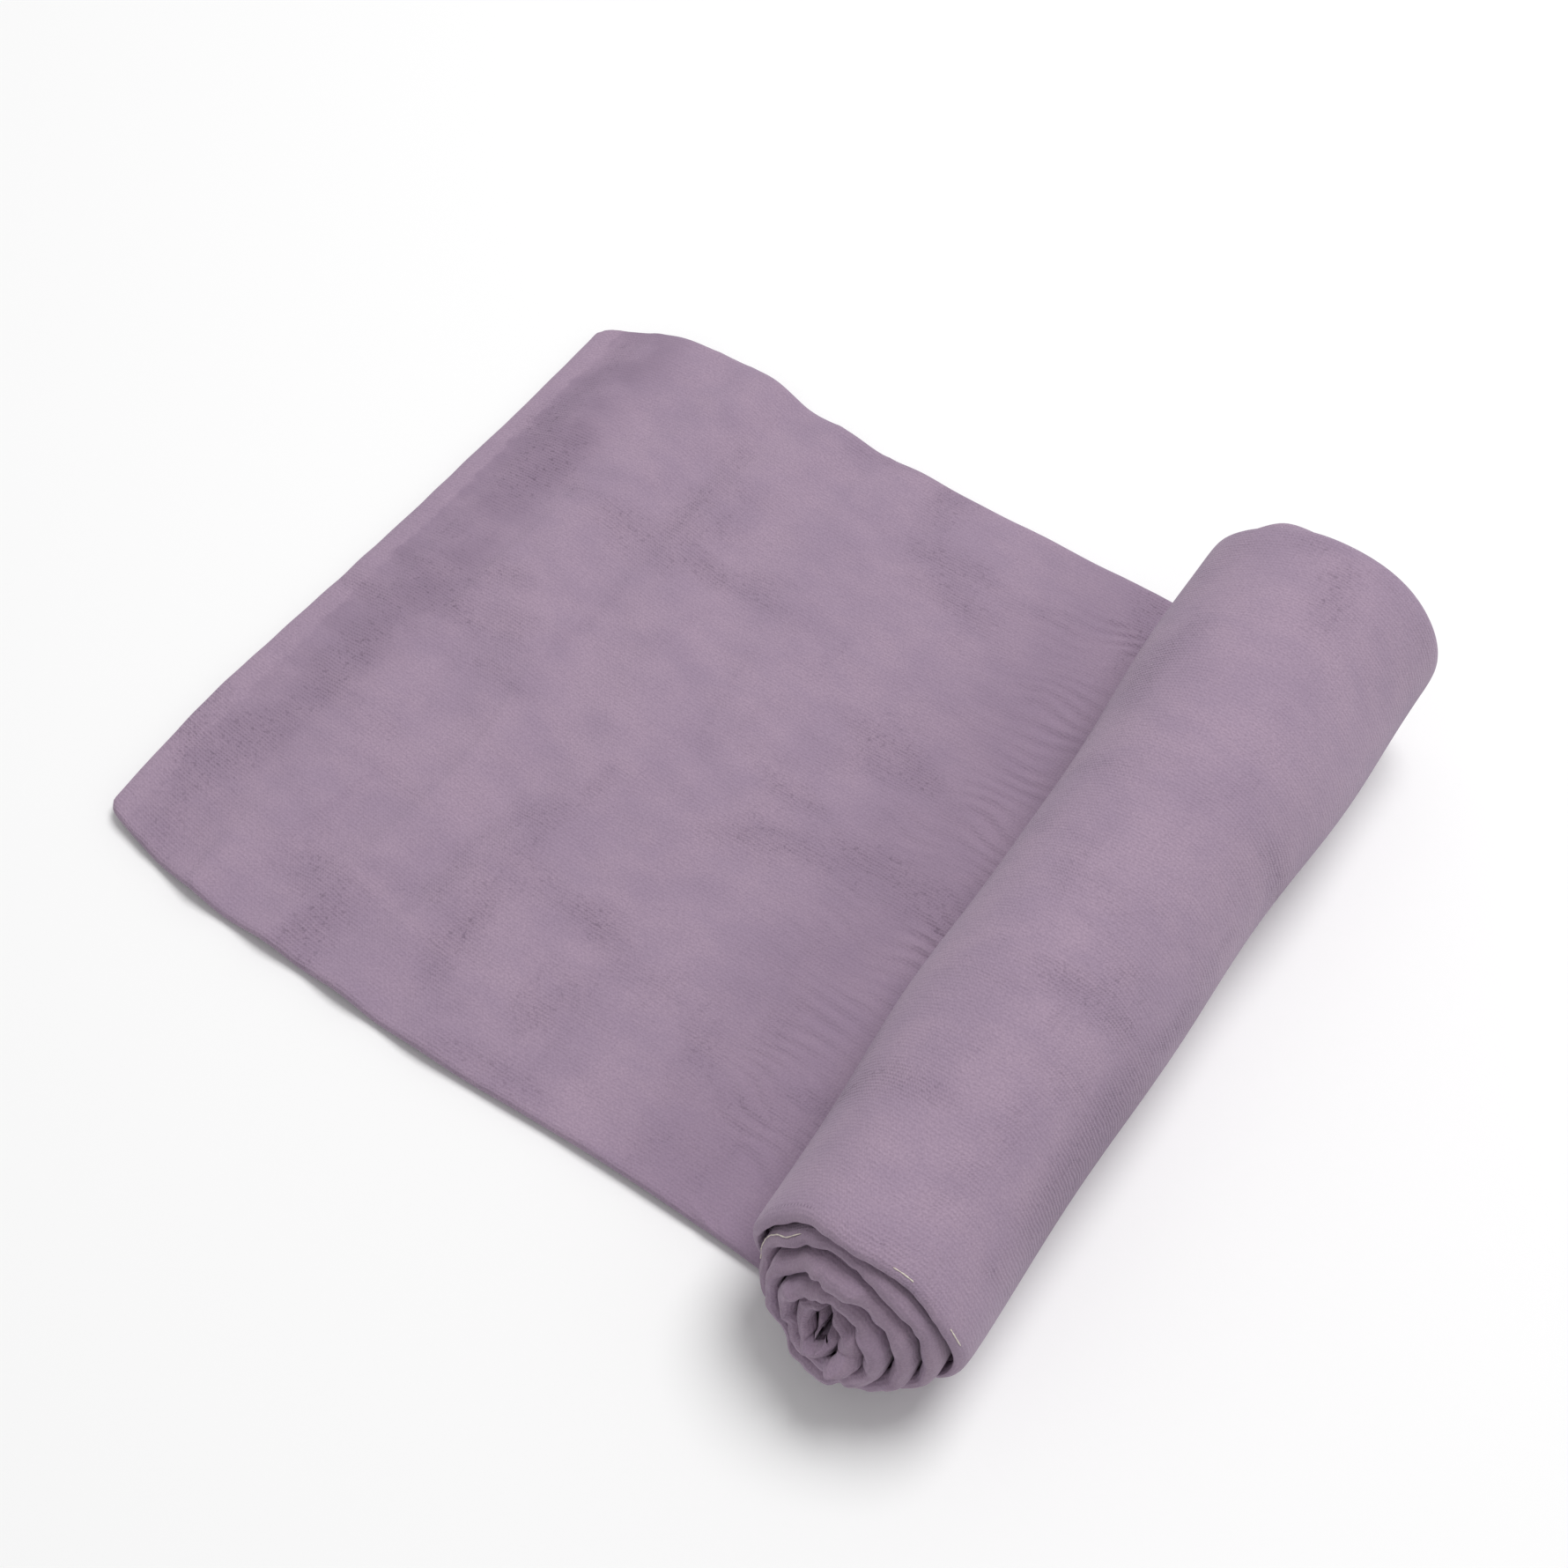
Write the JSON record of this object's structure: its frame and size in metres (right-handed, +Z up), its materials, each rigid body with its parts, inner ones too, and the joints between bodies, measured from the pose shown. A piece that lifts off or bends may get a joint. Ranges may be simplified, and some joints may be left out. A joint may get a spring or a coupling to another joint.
{
  "type": "rolled muslin baby wrap",
  "caption": "Soft muslin baby wrap cloth, folded into a strip and rolled up, with its free end lying flat as a tail.",
  "frame": {"origin": "centre of the bounding box, on the floor plane that the cloth rests on", "axes": "+X along the folded strip from its free end towards the roll, +Y along the axis of the roll towards its far end, +Z up"},
  "size_m": [0.3518, 0.316, 0.0878],
  "materials": {
    "muslin": "matt, open crinkled weave, dusty mauve",
    "thread": "cream sewing thread"
  },
  "bodies": {
    "outer_turn": {"turn_1_lower_leaf": "muslin", "turn_1_upper_leaf": "muslin", "edge_thread_turn_1": "thread"},
    "turn_2": {"turn_2_lower_leaf": "muslin", "turn_2_upper_leaf": "muslin", "edge_thread_turn_2": "thread"},
    "turn_3": {"turn_3_lower_leaf": "muslin", "turn_3_upper_leaf": "muslin"},
    "turn_4": {"turn_4_lower_leaf": "muslin", "turn_4_upper_leaf": "muslin"},
    "turn_5": {"turn_5_lower_leaf": "muslin", "turn_5_upper_leaf": "muslin"},
    "core_turn": {"core_turn_lower_leaf": "muslin", "core_turn_upper_leaf": "muslin"},
    "tail_1": {"tail_1_lower_leaf": "muslin", "tail_1_upper_leaf": "muslin"},
    "tail_2": {"tail_2_lower_leaf": "muslin", "tail_2_upper_leaf": "muslin"},
    "tail_3": {"tail_3_lower_leaf": "muslin", "tail_3_upper_leaf": "muslin"},
    "tail_4": {"tail_4_lower_leaf": "muslin", "tail_4_upper_leaf": "muslin"},
    "tail_5": {"tail_5_lower_leaf": "muslin", "tail_5_upper_leaf": "muslin"},
    "tail_6": {"tail_6_lower_leaf": "muslin", "tail_6_upper_leaf": "muslin"},
    "tail_7": {"tail_7_lower_leaf": "muslin", "tail_7_upper_leaf": "muslin"},
    "tail_8": {"tail_8_lower_leaf": "muslin", "tail_8_upper_leaf": "muslin"},
    "tail_9": {"tail_9_lower_leaf": "muslin", "tail_9_upper_leaf": "muslin", "end_hem_lower_leaf": "muslin", "end_hem_upper_leaf": "muslin"}
  },
  "joints": [
    {"name": "turn_2_push_out", "type": "slide", "parent": "outer_turn", "child": "turn_2", "axis": [0, -1, 0], "range_m": [-0.003, 0.008]},
    {"name": "turn_3_push_out", "type": "slide", "parent": "turn_2", "child": "turn_3", "axis": [0, -1, 0], "range_m": [-0.003, 0.008]},
    {"name": "turn_4_push_out", "type": "slide", "parent": "turn_3", "child": "turn_4", "axis": [0, -1, 0], "range_m": [-0.003, 0.008]},
    {"name": "turn_5_push_out", "type": "slide", "parent": "turn_4", "child": "turn_5", "axis": [0, -1, 0], "range_m": [-0.003, 0.008]},
    {"name": "core_turn_push_out", "type": "slide", "parent": "turn_5", "child": "core_turn", "axis": [0, -1, 0], "range_m": [-0.003, 0.008]},
    {"name": "tail_curl_1", "type": "hinge", "parent": "outer_turn", "child": "tail_1", "pos_m": [0.11571, 0, 0.0043], "axis": [0, 1, 0], "range_deg": [0, 32]},
    {"name": "tail_curl_2", "type": "hinge", "parent": "tail_1", "child": "tail_2", "pos_m": [0.0833, 0, 0.0043], "axis": [0, 1, 0], "range_deg": [0, 32]},
    {"name": "tail_curl_3", "type": "hinge", "parent": "tail_2", "child": "tail_3", "pos_m": [0.0509, 0, 0.0043], "axis": [0, 1, 0], "range_deg": [0, 32]},
    {"name": "tail_curl_4", "type": "hinge", "parent": "tail_3", "child": "tail_4", "pos_m": [0.01849, 0, 0.0043], "axis": [0, 1, 0], "range_deg": [0, 32]},
    {"name": "tail_curl_5", "type": "hinge", "parent": "tail_4", "child": "tail_5", "pos_m": [-0.01392, 0, 0.0043], "axis": [0, 1, 0], "range_deg": [0, 32]},
    {"name": "tail_curl_6", "type": "hinge", "parent": "tail_5", "child": "tail_6", "pos_m": [-0.04632, 0, 0.0043], "axis": [0, 1, 0], "range_deg": [0, 32]},
    {"name": "tail_curl_7", "type": "hinge", "parent": "tail_6", "child": "tail_7", "pos_m": [-0.07873, 0, 0.0043], "axis": [0, 1, 0], "range_deg": [0, 32]},
    {"name": "tail_curl_8", "type": "hinge", "parent": "tail_7", "child": "tail_8", "pos_m": [-0.11113, 0, 0.0043], "axis": [0, 1, 0], "range_deg": [0, 32]},
    {"name": "tail_curl_9", "type": "hinge", "parent": "tail_8", "child": "tail_9", "pos_m": [-0.14354, 0, 0.0043], "axis": [0, 1, 0], "range_deg": [0, 32]}
  ],
  "couplings": [
    {"joint": "turn_3_push_out", "follows": "turn_2_push_out", "ratio": 1},
    {"joint": "turn_4_push_out", "follows": "turn_2_push_out", "ratio": 1},
    {"joint": "turn_5_push_out", "follows": "turn_2_push_out", "ratio": 1},
    {"joint": "core_turn_push_out", "follows": "turn_2_push_out", "ratio": 1},
    {"joint": "tail_curl_2", "follows": "tail_curl_1", "ratio": 1},
    {"joint": "tail_curl_3", "follows": "tail_curl_1", "ratio": 1},
    {"joint": "tail_curl_4", "follows": "tail_curl_1", "ratio": 1},
    {"joint": "tail_curl_5", "follows": "tail_curl_1", "ratio": 1},
    {"joint": "tail_curl_6", "follows": "tail_curl_1", "ratio": 1},
    {"joint": "tail_curl_7", "follows": "tail_curl_1", "ratio": 1},
    {"joint": "tail_curl_8", "follows": "tail_curl_1", "ratio": 1},
    {"joint": "tail_curl_9", "follows": "tail_curl_1", "ratio": 1}
  ]
}
